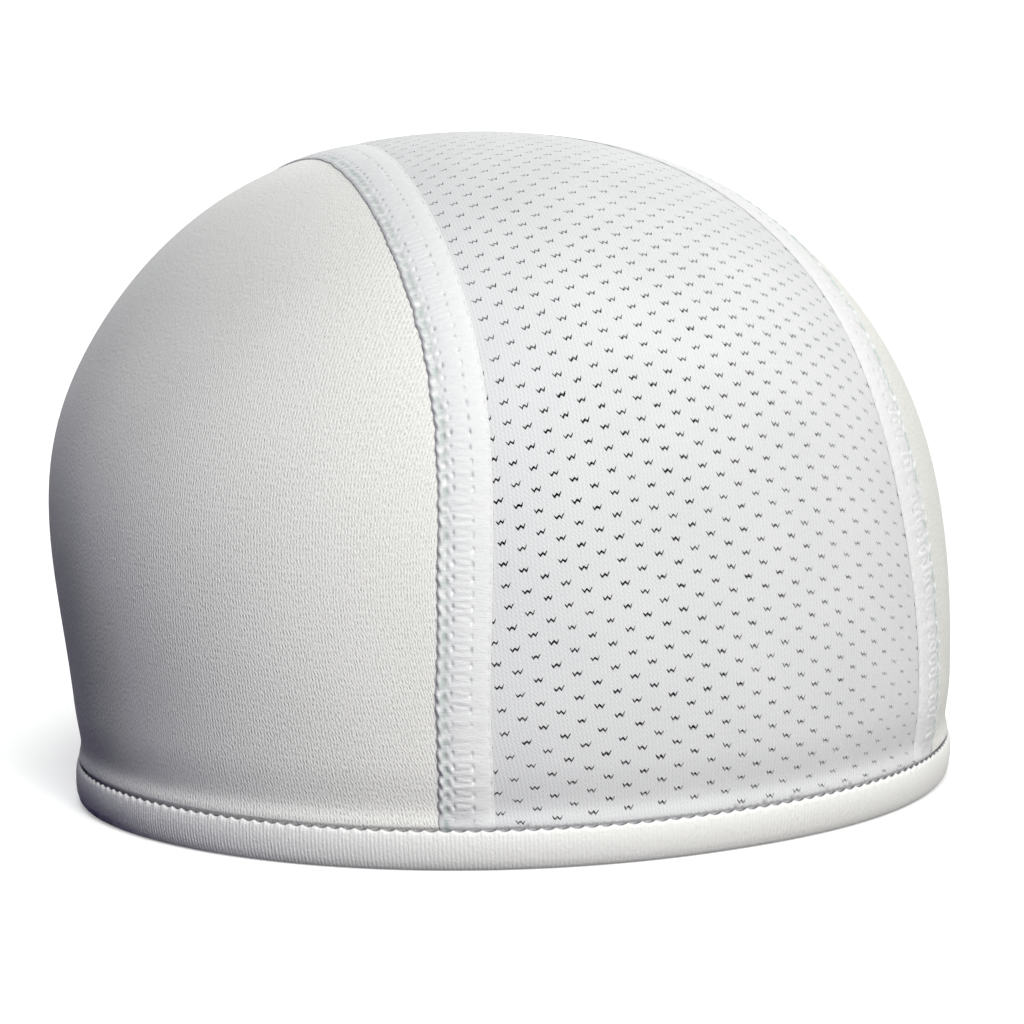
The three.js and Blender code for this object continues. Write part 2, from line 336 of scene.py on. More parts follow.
def puffed_normal(normal, z):
    """Normals of the crown, tilted as the lip above the hem tilts the cloth."""
    slope = (hem_puff(z + 0.05) - hem_puff(z - 0.05)) / 0.1
    upward = np.array([0.0, 0.0, 1.0]) - normal[..., 2:3] * normal
    return unit(normal - slope[..., None] * upward)


# Meshes and materials


def make_mesh(name, points, faces, cloth):
    """A smooth-shaded piece, with its place on the cloth kept at each point."""
    mesh = bpy.data.meshes.new(name)
    mesh.from_pydata((np.asarray(points) / 1000).tolist(), [], [list(map(int, f)) for f in faces])
    mesh.update()
    layer = mesh.attributes.new("cloth", "FLOAT_VECTOR", "POINT")
    layer.data.foreach_set("vector", np.asarray(cloth, np.float32).ravel())
    mesh.polygons.foreach_set("use_smooth", np.ones(len(mesh.polygons), bool))
    piece = bpy.data.objects.new(name, mesh)
    bpy.context.scene.collection.objects.link(piece)
    return piece


def shade_sheets(piece, normals, sheet_faces):
    """Smooth shading by the points' own normals on the first faces, and flat on the rest."""
    mesh = piece.data
    sizes = np.empty(len(mesh.polygons), int)
    mesh.polygons.foreach_get("loop_total", sizes)
    flat = np.empty(3 * len(mesh.polygons))
    mesh.polygons.foreach_get("normal", flat)
    corners = np.empty(len(mesh.loops), int)
    mesh.loops.foreach_get("vertex_index", corners)
    face = np.repeat(np.arange(len(sizes)), sizes)
    own = np.where((face < sheet_faces)[:, None], normals[corners], flat.reshape(-1, 3)[face])
    mesh.normals_split_custom_set(own.tolist())


def dress(piece, material, node_name):
    piece.data.materials.append(material)
    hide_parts(node_name)
    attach(piece, "root")


def grid_faces(rows, columns):
    """Quads of a grid of points kept row by row."""
    i, j = [a.ravel() for a in np.meshgrid(np.arange(rows - 1), np.arange(columns - 1), indexing="ij")]
    corner = i * columns + j
    return np.stack([corner, corner + 1, corner + columns + 1, corner + columns], -1)


def tube_faces(rings, count, closed=False, flip=False):
    """Quads of a tube of rings of points, kept ring by ring."""
    steps = rings if closed else rings - 1
    i, j = [a.ravel() for a in np.meshgrid(np.arange(steps), np.arange(count), indexing="ij")]
    ahead = (i + 1) % rings
    beside = (j + 1) % count
    quads = np.stack([i * count + j, i * count + beside, ahead * count + beside, ahead * count + j], -1)
    return quads[:, ::-1] if flip else quads


def solid_from_sheet(outer, thickness, cloth):
    """Points, faces and cloth coordinates of a closed sheet under a grid of outer points.

    The first row of the grid is the foot of the cloth, whose two faces end level.
    """
    rows, columns = outer.shape[:2]
    normal = outward(outer)
    normal[0, :, 2] = 0
    inner = outer - unit(normal) * thickness
    points = np.concatenate([outer.reshape(-1, 3), inner.reshape(-1, 3)])
    first = rows * columns
    index = np.arange(first).reshape(rows, columns)
    rim = np.concatenate([index[0, :-1], index[:-1, -1], index[-1, :0:-1], index[:0:-1, 0]])
    ahead = np.roll(rim, -1)
    walls = np.stack([rim, rim + first, ahead + first, ahead], -1)
    sheet = grid_faces(rows, columns)
    faces = np.concatenate([sheet, sheet[:, ::-1] + first, walls])
    return points, faces, np.concatenate([cloth.reshape(-1, 3)] * 2)


def knit_material(name, colour, roughness, build):
    material = bpy.data.materials.new(name)
    material.use_nodes = True
    tree = material.node_tree
    shader = tree.nodes["Principled BSDF"]
    shader.inputs["Base Color"].default_value = (*colour, 1)
    shader.inputs["Roughness"].default_value = roughness
    shader.inputs["Sheen Weight"].default_value = 0.1
    shader.inputs["Sheen Roughness"].default_value = 0.45
    shader.inputs["Specular IOR Level"].default_value = 0.25
    build(tree, shader)
    return material


def node(tree, kind, values=(), **settings):
    made = tree.nodes.new(kind)
    for key, value in settings.items():
        setattr(made, key, value)
    for key, value in dict(values).items():
        if isinstance(value, bpy.types.NodeSocket):
            tree.links.new(value, made.inputs[key])
        else:
            made.inputs[key].default_value = value
    return made


def maths(tree, operation, a, b=0.0):
    return node(tree, "ShaderNodeMath", {0: a, 1: b}, operation=operation).outputs[0]


def cloth_axes(tree):
    cloth = node(tree, "ShaderNodeAttribute", attribute_name="cloth")
    split = node(tree, "ShaderNodeSeparateXYZ", {0: cloth.outputs["Vector"]})
    return cloth.outputs["Vector"], split.outputs["X"], split.outputs["Y"]


def wave(tree, coordinate, pitch):
    """From 0 to 1 and back once in each pitch."""
    turns = maths(tree, "MULTIPLY", coordinate, 2 * math.pi / pitch)
    half = maths(tree, "MULTIPLY", maths(tree, "COSINE", turns), 0.5)
    return maths(tree, "ADD", half, 0.5)


def tint(tree, shader, amount, light, dark):
    colour = node(
        tree, "ShaderNodeMix", {"Factor": amount, "A": (*dark, 1), "B": (*light, 1)}, data_type="RGBA"
    )
    tree.links.new(colour.outputs["Result"], shader.inputs["Base Color"])


def paint_shade(tree, shader, amount, colour):
    """Lays painted shade, another colour, over the base colour so far, by an amount from 0 to 1."""
    base = shader.inputs["Base Color"].links[0].from_socket
    mix = node(tree, "ShaderNodeMix", {"Factor": amount, "A": base, "B": (*colour, 1)}, data_type="RGBA")
    tree.links.new(mix.outputs["Result"], shader.inputs["Base Color"])


def relief(tree, shader, height, distance):
    bump = node(tree, "ShaderNodeBump", {"Height": height, "Distance": distance, "Strength": 1.0})
    tree.links.new(bump.outputs["Normal"], shader.inputs["Normal"])


def noise(tree, place, scale, detail=3.0):
    made = node(tree, "ShaderNodeTexNoise", {"Vector": place, "Scale": scale, "Detail": detail})
    return made.outputs["Fac"]


def ramp(tree, value, low, high, at_low=0.0, at_high=1.0):
    """Straight line between two values, level beyond them."""
    places = {"Value": value, "From Min": low, "From Max": high, "To Min": at_low, "To Max": at_high}
    return node(tree, "ShaderNodeMapRange", places).outputs["Result"]


def stretched(tree, place, scale):
    """The cloth's coordinates, scaled along each axis."""
    made = node(tree, "ShaderNodeVectorMath", {0: place, 1: scale}, operation="MULTIPLY")
    return made.outputs["Vector"]


def seeds(tree, across, along, wale, course, wobble):
    """Short raised stitches in upright rows, each row half a stitch off its neighbours."""
    across = maths(tree, "ADD", across, wobble)
    along = maths(tree, "ADD", along, wobble)
    a = maths(tree, "COSINE", maths(tree, "MULTIPLY", across, math.pi / wale))
    b = maths(tree, "COSINE", maths(tree, "MULTIPLY", along, math.pi / course))
    return maths(tree, "ADD", maths(tree, "MULTIPLY", maths(tree, "MULTIPLY", a, b), 0.5), 0.5)


def blend(tree, *parts):
    """Sum of values, each with its weight."""
    total = 0.0
    for value, weight in parts:
        total = maths(tree, "ADD", maths(tree, "MULTIPLY", value, weight), total)
    return total


def mesh_knit(tree, shader):
    place, across, along = cloth_axes(tree)
    wale = wave(tree, across, MESH_WALE)
    fuzz = noise(tree, place, 1.9, 4.0)
    speck = noise(tree, stretched(tree, place, (4.2, 2.6, 1.0)), 1.0, 2.0)
    blotch = noise(tree, place, 0.05, 2.0)
    stitch = seeds(tree, across, along, MESH_WALE / 2, 0.5, blend(tree, (fuzz, 0.5)))
    height = blend(tree, (wale, 0.25), (stitch, 0.3), (fuzz, 0.4), (speck, 0.6))
    shade = blend(tree, (height, 1.0), (blotch, 0.5))
    tint(tree, shader, maths(tree, "SUBTRACT", shade, 0.58), (0.9, 0.905, 0.91), (0.71, 0.715, 0.73))
    relief(tree, shader, height, 0.0001)


def side_knit(tree, shader):
    place, across, along = cloth_axes(tree)
    warp = noise(tree, place, 0.9, 2.0)
    lean = maths(tree, "MULTIPLY", maths(tree, "POWER", along, 3.0), SIDE_LEAN)
    across = maths(tree, "ADD", across, lean)
    stitch = seeds(tree, across, along, SIDE_WALE / 2, SIDE_COURSE, blend(tree, (warp, 0.9)))
    wale = wave(tree, maths(tree, "ADD", across, blend(tree, (warp, 0.8))), SIDE_WALE)
    drawn = ramp(tree, along, 20.0, 90.0, 0.62, 0.5)
    knit = maths(tree, "SUBTRACT", blend(tree, (stitch, 0.45), (wale, 0.55)), 0.5)
    speck = noise(tree, stretched(tree, place, (2.6, 1.4, 1.0)), 1.0, 4.0)
    blotch = noise(tree, place, 0.04, 2.0)
    height = blend(tree, (knit, drawn), (speck, 1.6))
    shade = blend(tree, (height, 1.4), (blotch, 0.3))
    tint(tree, shader, maths(tree, "SUBTRACT", shade, 0.46), (1.0, 0.995, 0.96), (0.66, 0.655, 0.625))
    relief(tree, shader, height, 0.0001)


def seam_knit(tree, shader):
    place, reach, _ = cloth_axes(tree)
    stitch = node(tree, "ShaderNodeSeparateXYZ", {0: place}).outputs["Z"]
    fuzz = noise(tree, place, 1.8, 4.0)
    thread = noise(tree, stretched(tree, place, (0.7, 3.4, 1.0)), 1.0, 3.0)
    patch = noise(tree, place, 0.55, 2.0)
    height = blend(tree, (thread, 0.7), (fuzz, 0.5))
    tint(tree, shader, maths(tree, "SUBTRACT", blend(tree, (height, 1.0), (patch, 0.4)), 0.35),
         (0.955, 0.95, 0.955), (0.81, 0.82, 0.83))
    # painted shade in the seam's crease, valley and stitch holes, laid over the thread's colour
    for middle, width, scale, low, phase, sharpness, colour in SEAM_PAINTED_SHADE:
        off = maths(tree, "DIVIDE", maths(tree, "SUBTRACT", reach, middle), width)
        near = maths(tree, "EXPONENT", maths(tree, "MULTIPLY", maths(tree, "MULTIPLY", off, off), -1.0))
        spot = noise(tree, stretched(tree, place, (0.3, 1.0, 0.0)), scale, 2.0)
        broken = maths(tree, "MULTIPLY", near, ramp(tree, spot, low, low + PAINTED_SHADE_SOFTNESS))
        beat = maths(tree, "POWER", wave(tree, maths(tree, "ADD", stitch, phase), 1.0), sharpness)
        paint_shade(tree, shader, maths(tree, "MULTIPLY", broken, beat), colour)
    relief(tree, shader, height, 0.00012)


def hem_knit(tree, shader):
    place, across, along = cloth_axes(tree)
    fuzz = noise(tree, place, 1.8, 4.0)
    rib = wave(tree, maths(tree, "ADD", across, blend(tree, (fuzz, 0.3))), RIB_PITCH)
    speck = noise(tree, stretched(tree, place, (3.0, 0.8, 1.0)), 1.0, 3.0)
    shade = blend(tree, (rib, 0.3), (fuzz, 0.4), (speck, 0.6))
    tint(tree, shader, shade, (1.0, 0.995, 0.975), (0.89, 0.89, 0.875))
    # painted shade in the groove at the band's upper edge
    paint_shade(tree, shader, ramp(tree, along, GROOVE_FROM, GROOVE_TO, 1.0, 0.0), GROOVE_SHADE)
    relief(tree, shader, maths(tree, "ADD", fuzz, speck), 0.0001)


MESH_FABRIC = knit_material("mesh_fabric", (0.8, 0.81, 0.84), 0.85, mesh_knit)
SIDE_FABRIC = knit_material("side_fabric", (0.78, 0.77, 0.74), 0.7, side_knit)
SEAM_FABRIC = knit_material("seam_fabric", (0.84, 0.84, 0.85), 0.8, seam_knit)
HEM_FABRIC = knit_material("hem_fabric", (0.78, 0.77, 0.74), 0.75, hem_knit)


# Perforated middle panel. Its cloth is measured in millimetres across from the centre line, on
# the surface, and along from the forehead's edge. Columns of eyelets follow the cloth's grain.

TURNS = np.linspace(0, math.pi, 721)
ARC = arc_of(middle_point(0.0, TURNS))
PANEL_LENGTH = ARC[-1]


def across_table():
    """For a coarse grid of turns, the start offset of the ray to each distance across."""
    turns = np.linspace(0, math.pi, 121)
    offsets = np.linspace(0, 60, 121)
    reach = np.linspace(0, 66, 133)
    table = []
    for turn in turns:
        row = middle_point(offsets / (seam_out(np.degrees(turn)) * HALF_WIDTH), turn)
        table.append(np.interp(reach, arc_of(row), offsets))
    return turns, reach, np.array(table)


ACROSS_TURNS, ACROSS_REACH, ACROSS_START = across_table()


def start_offset(across, turn):
    """Offset from the centre plane of the ray that meets the crown at a distance across."""
    i = np.clip(turn / ACROSS_TURNS[1], 0, len(ACROSS_TURNS) - 1.001)
    j = np.clip(np.abs(across) / ACROSS_REACH[1], 0, len(ACROSS_REACH) - 1.001)
    i0 = i.astype(int)
    j0 = j.astype(int)
    di = i - i0
    dj = j - j0
    low = ACROSS_START[i0, j0] * (1 - dj) + ACROSS_START[i0, j0 + 1] * dj
    high = ACROSS_START[i0 + 1, j0] * (1 - dj) + ACROSS_START[i0 + 1, j0 + 1] * dj
    return np.sign(across) * (low * (1 - di) + high * di)


def panel_edge(along):
    """Distance across to the panel's edge, at a distance along."""
    turn = np.interp(along, ARC, TURNS)
    offset = seam_out(np.degrees(turn)) * HALF_WIDTH - CLEARANCE / 2
    i = np.clip(turn / ACROSS_TURNS[1], 0, len(ACROSS_TURNS) - 1.001)
    out = []
    for place, wanted in zip(i, offset):
        row = int(place)
        share = place - row
        starts = ACROSS_START[row] * (1 - share) + ACROSS_START[row + 1] * share
        out.append(np.interp(wanted, starts, ACROSS_REACH))
    return np.array(out)


def grain_middle(along):
    """Distance across of the middle column of eyelets: the grain leans towards the crown."""
    return GRAIN_OFFSET + GRAIN_DRIFT * smoothstep(along, GRAIN_DRIFT_FROM, GRAIN_DRIFT_TO)


def column_pitch(along):
    return np.interp(along, GRAIN_AT, GRAIN_PITCH)


def eyelet_place(column, half_row):
    """Across and along, in millimetres, of a place of the eyelets' lattice."""
    row_along = np.interp(half_row / 2, ROW_COUNT, ROW_ALONG)
    across = grain_middle(row_along) + column * column_pitch(row_along) - COLUMN_DRIFT * column**2
    ahead = smoothstep(row_along + 1, ROW_LEAN_FROM, GRAIN_DRIFT_TO)
    behind = smoothstep(row_along - 1, ROW_LEAN_FROM, GRAIN_DRIFT_TO)
    lean = (ahead - behind) * GRAIN_DRIFT / 2 - BROW_LEAN * np.maximum(BROW_TO - row_along, 0)
    curve = ROW_CURVE + CROWN_CURVE * np.exp(-(((row_along - CROWN_AT) / CROWN_SPREAD) ** 2))
    curve = curve - BROW_CURVE * smoothstep(BROW_TO - row_along, 0, BROW_FADE)
    return across, row_along - lean * across + curve * across**2


def eyelet_outlines(count, rng):
    """Outlines in mm round their middles: each a stroke that runs down, up, down and up."""
    across, along, stroke = np.array(EYELET_LINE).T
    line = np.stack([across, along], -1) * [EYELET_WIDTH / 2, EYELET_HEIGHT - EYELET_STROKE]
    lines = line[None] * (1 + SIZE_JITTER * rng.standard_normal((count, 1, 1)))
    lines = lines + SHAPE_JITTER * rng.standard_normal(lines.shape)
    lines[..., 1] += lines[..., 0] * (TILT_JITTER * rng.standard_normal((count, 1)) + EYELET_TILT)
    thick = EYELET_STROKE / 2 * stroke[None] * (1 + STROKE_JITTER * rng.standard_normal((count, 1)))
    lift = np.stack([0 * thick, np.clip(thick, THINNEST_STROKE / 2, THICKEST_STROKE / 2)], -1)
    return np.concatenate([lines - lift, (lines + lift)[:, ::-1]], 1)


def inside_outline(points, outlines):
    """Whether each point lies inside its own closed outline, by counting crossings."""
    inside = np.zeros(len(points), bool)
    for k in range(outlines.shape[1]):
        a = outlines[:, k]
        b = outlines[:, k - 1]
        spans = (a[:, 1] > points[:, 1]) != (b[:, 1] > points[:, 1])
        rise = np.where(b[:, 1] == a[:, 1], 1e-9, b[:, 1] - a[:, 1])
        crossing = a[:, 0] + (points[:, 1] - a[:, 1]) / rise * (b[:, 0] - a[:, 0])
        inside ^= spans & (points[:, 0] < crossing)
    return inside


def eyelets(rng):
    """Middles and outlines of the eyelets that aren't wholly hidden under a seam or the hem band."""
    columns = np.arange(-OUTER_COLUMN, OUTER_COLUMN + 1)
    columns, halves = np.meshgrid(columns, np.arange(0, int(2 * ROW_COUNT[-1]) + 1))
    even = (columns + halves) % 2 == 0
    across, along = eyelet_place(columns[even].astype(float), halves[even].astype(float))
    room = panel_edge(along) - np.abs(across)
    hidden = HEM_HEIGHT + CLEARANCE
    shown = (room > EYELET_FROM_EDGE) & (along > hidden) & (along < PANEL_LENGTH - hidden)
    middles = np.stack([across, along], -1)[shown]
    return middles, middles[:, None] + eyelet_outlines(len(middles), rng)


def fill_points(middles):
    """Points between the eyelets, with close rows of them over the lip."""
    columns = np.arange(-OUTER_COLUMN, OUTER_COLUMN + 0.5, 0.5)
    columns, halves = np.meshgrid(columns, np.arange(0, 2 * ROW_COUNT[-1] + 1))
    free = (columns % 1 == 0.5) | ((columns + halves) % 2 == 1)
    across, along = eyelet_place(columns[free], halves[free])
    inner = np.abs(across) < panel_edge(along) - FILL_MARGIN_ACROSS
    inner &= (along > FILL_MARGIN_ALONG) & (along < PANEL_LENGTH - FILL_MARGIN_ALONG)
    lattice = np.stack([across, along], -1)[inner]
    across, along = np.meshgrid(
        np.arange(-60, 60, LIP_POINT_PITCH), np.arange(LIP_ROWS_FROM, LIP_ROWS_TO, LIP_ROW_PITCH)
    )
    across = across + LIP_POINT_PITCH / 2 * (np.arange(len(across)) % 2)[:, None]
    front = np.stack([across, along], -1).reshape(-1, 2)
    back = np.stack([across, PANEL_LENGTH - along], -1).reshape(-1, 2)
    lip = np.concatenate([front, back])
    lip = lip[np.abs(lip[:, 0]) < panel_edge(lip[:, 1]) - FILL_MARGIN_ACROSS]
    fill = np.concatenate([lattice, lip])
    apart = np.abs(fill[:, None] - middles[None])
    return fill[((apart[..., 0] > EYELET_ROOM_ACROSS) | (apart[..., 1] > EYELET_ROOM_ALONG)).all(1)]


def panel_border():
    """Points round the panel's border, and 1 or -1 for those on its left or right edge."""
    steps = np.linspace(0, PANEL_LENGTH, int(PANEL_LENGTH / 2) + 1)
    edge = panel_edge(steps)
    hem_steps = np.linspace(-1, 1, 61)[1:-1]
    border = np.concatenate([
        np.stack([edge, steps], -1),
        np.stack([-hem_steps * edge[-1], 0 * hem_steps + PANEL_LENGTH], -1),
        np.stack([-edge[::-1], steps[::-1]], -1),
        np.stack([hem_steps * edge[0], 0 * hem_steps], -1),
    ])
    return border, np.repeat([1, 0, -1, 0], [len(steps), len(hem_steps)] * 2)


def cut_cloth(border, rims, fill):
    """Triangles of the flat panel, with its eyelets cut out.

    Gives the points, the triangles, each point's own eyelet or -1, and the loops of points round
    the border and round each eyelet.
    """
    count, rim_size = rims.shape[:2]
    flat = np.concatenate([border, rims.reshape(-1, 2), fill])
    own_rim = np.full(len(flat), -1)
    own_rim[len(border):len(border) + count * rim_size] = np.repeat(np.arange(count), rim_size)
    loops = [np.arange(len(border))]
    loops += list(len(border) + np.arange(count * rim_size).reshape(count, rim_size))
    edges = np.concatenate([np.stack([loop, np.roll(loop, -1)], -1) for loop in loops])
    points = [Vector(p) for p in flat.tolist()]
    made_points, _, made_faces, sources, _, _ = delaunay_2d_cdt(points, edges.tolist(), [], 1, 1e-5)
    placed = np.array([tuple(p) for p in made_points])
    triangles = np.array(made_faces)
    to_made = np.full(len(flat), -1)
    for k, own in enumerate(sources):
        to_made[own] = k
    source = np.array([own[0] if own else -1 for own in sources])
    eyelet = np.where(source >= 0, own_rim[source], -1)
    a, b, c = eyelet[triangles].T
    same = (a >= 0) & (a == b) & (b == c)
    cut = np.zeros(len(triangles), bool)
    cut[same] = inside_outline(placed[triangles[same]].mean(1), rims[a[same]])
    return placed, triangles[~cut], eyelet, [to_made[loop] for loop in loops]


def middle_panel():
    middles, rims = eyelets(np.random.default_rng(7))
    border, border_side = panel_border()
    placed, triangles, eyelet, loops = cut_cloth(border, rims, fill_points(middles))
    across, along = placed.T
    turn = np.interp(along, ARC, TURNS)
    half = seam_out(np.degrees(turn)) * HALF_WIDTH
    outer = middle_point(start_offset(across, turn) / half, turn)
    side = np.zeros(len(placed))
    side[loops[0]] = border_side
    held = side != 0
    outer[held] = middle_point(side[held], turn[held], CLEARANCE / 2)
    normal = outward(outer)
    normal[np.abs(outer[:, 2] - EDGE_Z) < 1e-4, 2] = 0
    normal = unit(normal)
    inner = outer - normal * CLOTH
    shading = puffed_normal(normal, outer[:, 2])
    lift = hem_puff(outer[:, 2]) - np.where(eyelet >= 0, RIM_SINK, 0.0)
    outer = outer + normal * lift[:, None]
    grain = (across - grain_middle(along)) / column_pitch(along) * GRAIN_WALES * MESH_WALE
    cloth = np.stack([grain, along, 0 * along], -1)

    n = len(placed)
    walls = []
    for rim in loops:
        ahead = np.roll(rim, -1)
        walls.append(np.stack([rim, ahead, ahead + n, rim + n], -1))
    walls[0] = walls[0][:, ::-1]
    sheets = np.concatenate([triangles, triangles[:, ::-1] + n])
    faces = sheets.tolist() + np.concatenate(walls).tolist()
    points = np.concatenate([outer, inner])
    piece = make_mesh("perforated_middle_panel", points, faces, np.concatenate([cloth, cloth]))
    shade_sheets(piece, np.concatenate([shading, -normal]), len(sheets))
    dress(piece, MESH_FABRIC, "center_panel")


def side_panel(side, name, solid):
    """Cloth between the seam's front, top and back stretches and the hem, drawn onto the crown."""

    def on_seam(turn):
        return middle_point(float(side), turn, -CLEARANCE / 2)

    def compass(point):
        return math.atan2(point[0] * side, -(point[1] - WIDEST_BEHIND))

    u = np.linspace(0, 1, SIDE_COLUMNS + 1)
    front = on_seam(SIDE_RISE_TURN * SIDE_ROWS)
    back = on_seam(math.pi - SIDE_RISE_TURN * SIDE_ROWS)
    top = on_seam(SIDE_RISE_TURN + (math.pi - 2 * SIDE_RISE_TURN) * u)
    bearing = compass(front[0]) + (compass(back[0]) - compass(front[0])) * u
    hem = crown_along(PIVOT, np.stack([side * np.sin(bearing), -np.cos(bearing), 0 * u], -1))
    uu = u[None, :, None]
    vv = SIDE_ROWS[:, None, None]
    blended = front[:, None] * (1 - uu) + back[:, None] * uu + hem[None] * (1 - vv) + top[None] * vv
    low = hem[0] * (1 - uu) + hem[-1] * uu
    high = top[0] * (1 - uu) + top[-1] * uu
    blended = blended - low * (1 - vv) - high * vv
    outer = crown_along(PIVOT, unit(blended - PIVOT))
    outer[0] = hem
    outer[-1] = top
    outer[:, 0] = front
    outer[:, -1] = back
    across_steps = np.linalg.norm(np.diff(outer, axis=1), axis=-1)
    across = np.concatenate([np.zeros((len(outer), 1)), np.cumsum(across_steps, axis=1)], 1)
    across = across - across[:, SIDE_COLUMNS // 2][:, None]
    up_steps = np.linalg.norm(np.diff(outer, axis=0), axis=-1)
    climb = np.concatenate([np.zeros((1, SIDE_COLUMNS + 1)), np.cumsum(up_steps, axis=0)], 0)
    cloth = np.stack([across, climb, 0 * across], -1)
    if side > 0:
        outer = outer[:, ::-1]
        cloth = cloth[:, ::-1]
    points, faces, cloth = solid_from_sheet(outer, CLOTH, cloth)
    count = outer.shape[0] * outer.shape[1]
    points[:count] += outward(points[:count]) * hem_puff(points[:count, 2])[:, None]
    piece = make_mesh(name, points, faces, cloth)
    dress(piece, SIDE_FABRIC, solid)


def spread(value, middle, width):
    return np.exp(-(((value - middle) / width) ** 2))


def pulse(beat, phase):
    """From 0 to 1 and back once in each stitch."""
    return 0.5 + 0.5 * np.cos(2 * math.pi * (beat + phase))


def wandering(along, spacing, amount, rng):
    """Smooth random values along a seam."""
    knots = np.arange(along.min() - spacing, along.max() + 2 * spacing, spacing)
    return amount * np.interp(along, knots, rng.standard_normal(len(knots)))


def seam_relief(reach, along, rng):
    """Height of the stitched relief, in mm, and count of stitches, across and along a seam."""
    beat = along / STITCH + wandering(along, 9.0, 0.12, rng)
    loose = 1 + wandering(along, 2.2, 0.35, rng)
    pulled = np.maximum(1 + wandering(along, 2.6, 0.7, rng), 0)
    rise = spline_through(SEAM_REACH, SEAM_RISE)(reach)
    for middle, width, height, slant in SEAM_ROLLS:
        twist = np.cos(2 * math.pi * (beat + reach * slant))
        rise = rise + height * loose * spread(reach, middle, width) * twist
    for middle, width, depth, phase, sharpness in SEAM_PITS:
        rise = rise - depth * pulled * spread(reach, middle, width) * pulse(beat, phase) ** sharpness
    middle, width, depth, phase, sharpness = MARGIN_PIT
    rise = rise - depth * loose * spread(reach, middle, width) * pulse(beat, phase) ** sharpness
    turned = np.where(np.floor(beat * 2 + 0.25) % 2 < 1, 0.5, -0.25)
    slant = turned * (reach - LADDER_MIDDLE) / LADDER_WIDTH
    rungs = np.cos(2 * math.pi * (2 * beat + slant + wandering(along, 1.5, 0.08, rng)))
    ladder = smoothstep(reach, 2.8, 3.6) * (1 - smoothstep(reach, 5.9, 6.7))
    rise = rise + LADDER_HEIGHT * (loose + wandering(along, 0.9, 0.5, rng)) * ladder * rungs
    uneven = wandering(along, 1.1, 0.03, rng)
    rise = rise + uneven * smoothstep(reach, 0, 1) * (1 - smoothstep(reach, 8.0, 9.5))
    return rise, beat


def seam_band(side, name, solid):
    rng = np.random.default_rng(21 if side > 0 else 22)
    front_end = turn_at_height(HEM_HEIGHT - SEAM_END_BELOW, 0.0, math.pi / 2)
    back_end = turn_at_height(HEM_HEIGHT - SEAM_END_BELOW, math.pi, math.pi / 2)
    coarse = np.linspace(front_end, back_end, 721)
    arc = arc_of(middle_point(float(side), coarse))
    stations = np.linspace(0, arc[-1], int(arc[-1] / 0.32) + 1)
    turn = np.interp(stations, arc, coarse)
    centre = middle_point(float(side), turn)
    along = unit(middle_point(float(side), turn + 1e-3) - middle_point(float(side), turn - 1e-3))
    across = unit(np.cross(along, outward(centre)) * side)

    # Places across, close together where the relief is fine, and two on the underside
    width = SEAM_REACH[-1]
    reach = np.concatenate([
        np.arange(0, 3.4, 0.17), np.arange(3.4, 6.2, 0.4), np.arange(6.2, 7.1, 0.15),
        np.arange(7.2, 9.3, 0.4), np.arange(9.45, width, 0.13), [width],
    ])
    under = np.array([7.0, 3.5])
    both = np.concatenate([reach, under])
    knots = np.linspace(0, arc[-1], 120)
    edge_wander = EDGE_WANDER * np.interp(stations, knots, rng.standard_normal(120))
    reach_grid, along_grid = np.meshgrid(reach, stations)
    lift, beat = seam_relief(reach_grid, along_grid, rng)
    looped = np.cos(2 * math.pi * (beat[:, :1] + 0.05)) * spread(both, 0, 0.8)[None]
    shift = (1 - both / width)[None] * edge_wander[:, None] - LOOP_SHIFT * looped
    place = centre[:, None] + across[:, None] * (0.5 * SEAM_WIDTH - both[None] - shift)[..., None]
    level = np.array([0.0, WIDEST_BEHIND, 0.0])
    foot = crown_along(level, unit(place - level))
    up = outward(foot)

    # Plain behind and just above the hem band, and thin over the crown
    top_height = foot[:, :len(reach), 2]
    tucked = smoothstep(top_height, HEM_HEIGHT, HEM_HEIGHT + 5)
    stitched = smoothstep(top_height, HEM_HEIGHT + 1.6, HEM_HEIGHT + 3.2)
    plain = 0.72 * smoothstep(reach_grid, -0.1, 0.5) * (1 - smoothstep(reach_grid, 7.5, width))
    lift = plain + (lift - plain) * stitched
    thinner = 1 - OVER_CROWN * spread(turn, math.radians(THINNEST_TURN), math.radians(THIN_SPREAD))
    lift = 0.05 + (lift - 0.05) * (0.12 + 0.88 * tucked) * thinner[:, None] + hem_puff(top_height)
    lift = np.concatenate([lift, np.full((len(stations), len(under)), 0.04)], 1)
    points = foot + up * lift[..., None]
    cloth = np.stack(np.broadcast_arrays(both[None], stations[:, None], beat[:, :1]), -1)
    count = len(both)
    faces = tube_faces(len(stations), count, flip=side > 0)
    first = list(range(count))
    last = [(len(stations) - 1) * count + k for k in first]
    ends = [first[::-1], last] if side < 0 else [first, last[::-1]]
    piece = make_mesh(name, points.reshape(-1, 3), faces.tolist() + ends, cloth.reshape(-1, 3))
    dress(piece, SEAM_FABRIC, solid)


